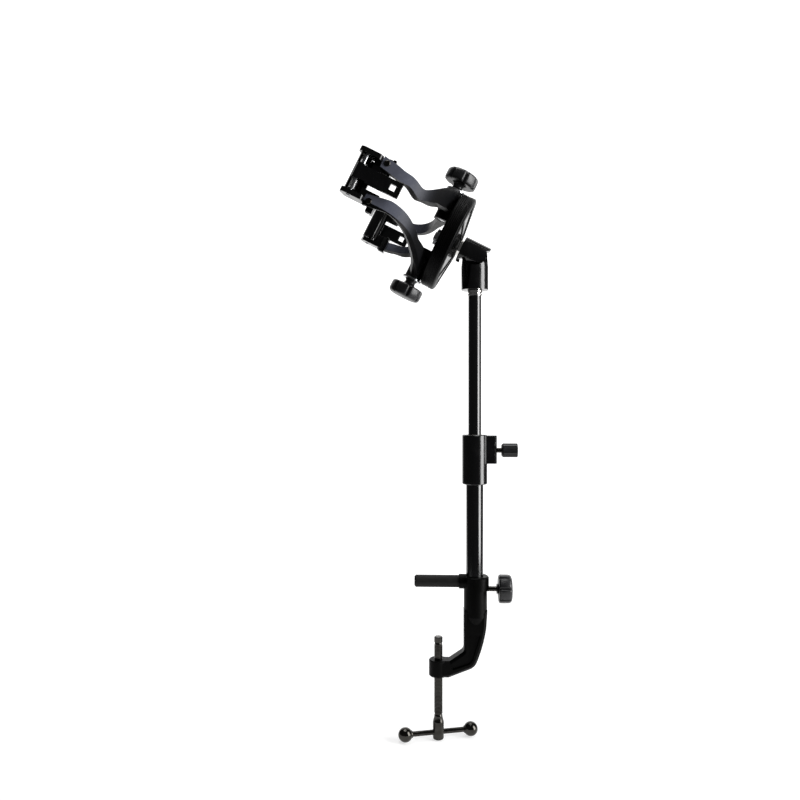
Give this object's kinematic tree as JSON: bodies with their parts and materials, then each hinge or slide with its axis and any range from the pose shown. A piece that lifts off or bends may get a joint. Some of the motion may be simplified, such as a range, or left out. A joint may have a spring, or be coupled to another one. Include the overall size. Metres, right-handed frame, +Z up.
{
  "type": "tablet clamp holder",
  "caption": "Table clamp with a telescopic post, a tilting elbow and a round hub whose two swinging claws grip a tablet with sprung hooks.",
  "frame": {"origin": "on the table-top plane, at the underside of the upper jaw rod, on the axis of the clamp screw", "axes": "+Z up along the post, +X away from the table towards the post, the tablet faces -X; Y runs along the table edge"},
  "size_m": [0.1538, 0.1992, 0.5301],
  "materials": {
    "black_lacquer": "gloss",
    "black_tube": "gloss",
    "black_nickel": "polished",
    "bright_steel": "polished",
    "zinc_steel": "satin",
    "brass": "satin",
    "black_plastic": "satin",
    "arm_plastic": "satin",
    "white_pom": "satin",
    "sleeve_grip": "satin",
    "grey_rubber": "matte"
  },
  "bodies": {
    "clamp": {"clamp_frame": "black_lacquer", "jaw_rod": "zinc_steel", "jaw_sleeve": "sleeve_grip"},
    "screw_tip": {"screw_tip_cap": "black_nickel"},
    "clamp_screw": {"clamp_screw": "black_nickel"},
    "tommy_bar": {"tommy_bar": "black_nickel", "tommy_ball_left": "black_nickel", "tommy_ball_right": "black_nickel"},
    "post_lock": {"post_lock_knob": "black_plastic", "post_lock_stud": "zinc_steel", "post_lock_shoe": "brass"},
    "lower_post": {"lower_tube": "black_tube", "height_sleeve": "black_lacquer", "sleeve_bush": "white_pom"},
    "height_lock": {"height_lock_knob": "black_plastic", "height_lock_stud": "zinc_steel", "height_lock_shoe": "brass"},
    "upper_post": {"upper_tube": "black_tube", "tube_foot": "white_pom", "neck_stud": "bright_steel"},
    "elbow_pan": {"elbow_lower": "black_lacquer"},
    "elbow_tilt": {"elbow_upper": "black_lacquer", "pivot_bolt": "zinc_steel", "hub_stud": "bright_steel", "hub_washer": "zinc_steel", "hub_nut": "zinc_steel"},
    "hub": {"hub_cover": "black_plastic", "hub_body": "black_plastic"},
    "upper_lock": {"upper_claw_knob": "black_plastic", "upper_claw_stud": "zinc_steel", "upper_claw_washer": "zinc_steel"},
    "lower_lock": {"lower_claw_knob": "black_plastic", "lower_claw_stud": "zinc_steel", "lower_claw_washer": "zinc_steel"},
    "near_claw": {"near_upper_arm": "arm_plastic", "near_lower_arm": "arm_plastic", "near_yoke": "black_plastic", "near_rest_pads": "grey_rubber", "near_jaw_pin": "zinc_steel", "near_jaw_spring": "zinc_steel"},
    "near_jaw": {"near_jaw_lever": "black_plastic", "near_jaw_pad": "grey_rubber"},
    "far_claw": {"far_upper_arm": "arm_plastic", "far_lower_arm": "arm_plastic", "far_yoke": "black_plastic", "far_rest_pads": "grey_rubber", "far_jaw_pin": "zinc_steel", "far_jaw_spring": "zinc_steel"},
    "far_jaw": {"far_jaw_lever": "black_plastic", "far_jaw_pad": "grey_rubber"}
  },
  "joints": [
    {"name": "screw_travel", "type": "slide", "parent": "clamp", "child": "screw_tip", "axis": [0, 0, 1], "range_m": [-0.0155, 0.0372]},
    {"name": "screw_turn", "type": "hinge", "parent": "screw_tip", "child": "clamp_screw", "pos_m": [0, 0, -0.12], "axis": [0, 0, 1], "continuous": true},
    {"name": "tommy_bar_slide", "type": "slide", "parent": "clamp_screw", "child": "tommy_bar", "axis": [0.9703, 0.2419, 0], "range_m": [-0.019, 0.019]},
    {"name": "post_lock_turn", "type": "hinge", "parent": "clamp", "child": "post_lock", "pos_m": [0.0606, 0, -0.0012], "axis": [1, 0, 0], "continuous": true},
    {"name": "post_turn", "type": "hinge", "parent": "clamp", "child": "lower_post", "pos_m": [0.0336, 0, 0.05], "axis": [0, 0, 1], "continuous": true},
    {"name": "height_lock_turn", "type": "hinge", "parent": "lower_post", "child": "height_lock", "pos_m": [0.0636, 0, 0.1271], "axis": [1, 0, 0], "continuous": true},
    {"name": "height_slide", "type": "slide", "parent": "lower_post", "child": "upper_post", "axis": [0, 0, 1], "range_m": [-0.085, 0.045]},
    {"name": "head_pan", "type": "hinge", "parent": "upper_post", "child": "elbow_pan", "pos_m": [0.0336, 0, 0.2852], "axis": [0, 0, 1], "continuous": true},
    {"name": "head_tilt", "type": "hinge", "parent": "elbow_pan", "child": "elbow_tilt", "pos_m": [0.0336, 0, 0.3072], "axis": [0, 1, 0], "range_deg": [-14, 36]},
    {"name": "hub_roll", "type": "hinge", "parent": "elbow_tilt", "child": "hub", "pos_m": [0.01216, 0, 0.31798], "axis": [-0.8934, 0, 0.4493], "continuous": true},
    {"name": "upper_lock_turn", "type": "hinge", "parent": "hub", "child": "upper_lock", "pos_m": [0.0181, 0, 0.37096], "axis": [0.4493, 0, 0.8934], "continuous": true},
    {"name": "lower_lock_turn", "type": "hinge", "parent": "hub", "child": "lower_lock", "pos_m": [-0.02683, 0, 0.28163], "axis": [-0.4493, 0, -0.8934], "continuous": true},
    {"name": "near_claw_swing", "type": "hinge", "parent": "hub", "child": "near_claw", "pos_m": [-0.00437, 0, 0.3263], "axis": [0.4493, 0, 0.8934], "range_deg": [-30, 9]},
    {"name": "far_claw_swing", "type": "hinge", "parent": "hub", "child": "far_claw", "pos_m": [-0.00437, 0, 0.3263], "axis": [-0.4493, 0, -0.8934], "range_deg": [-30, 9]},
    {"name": "near_jaw_hook", "type": "hinge", "parent": "near_claw", "child": "near_jaw", "pos_m": [-0.06512, -0.0946, 0.35685], "axis": [0.4493, 0, 0.8934], "range_deg": [0, 28], "stiffness_Nm_per_rad": 0.25, "springref_deg": -17.19},
    {"name": "far_jaw_hook", "type": "hinge", "parent": "far_claw", "child": "far_jaw", "pos_m": [-0.06512, 0.0946, 0.35685], "axis": [-0.4493, 0, -0.8934], "range_deg": [0, 28], "stiffness_Nm_per_rad": 0.25, "springref_deg": -17.19}
  ],
  "couplings": [
    {"joint": "screw_turn", "follows": "screw_travel", "rad_per_m": 5026.5}
  ]
}
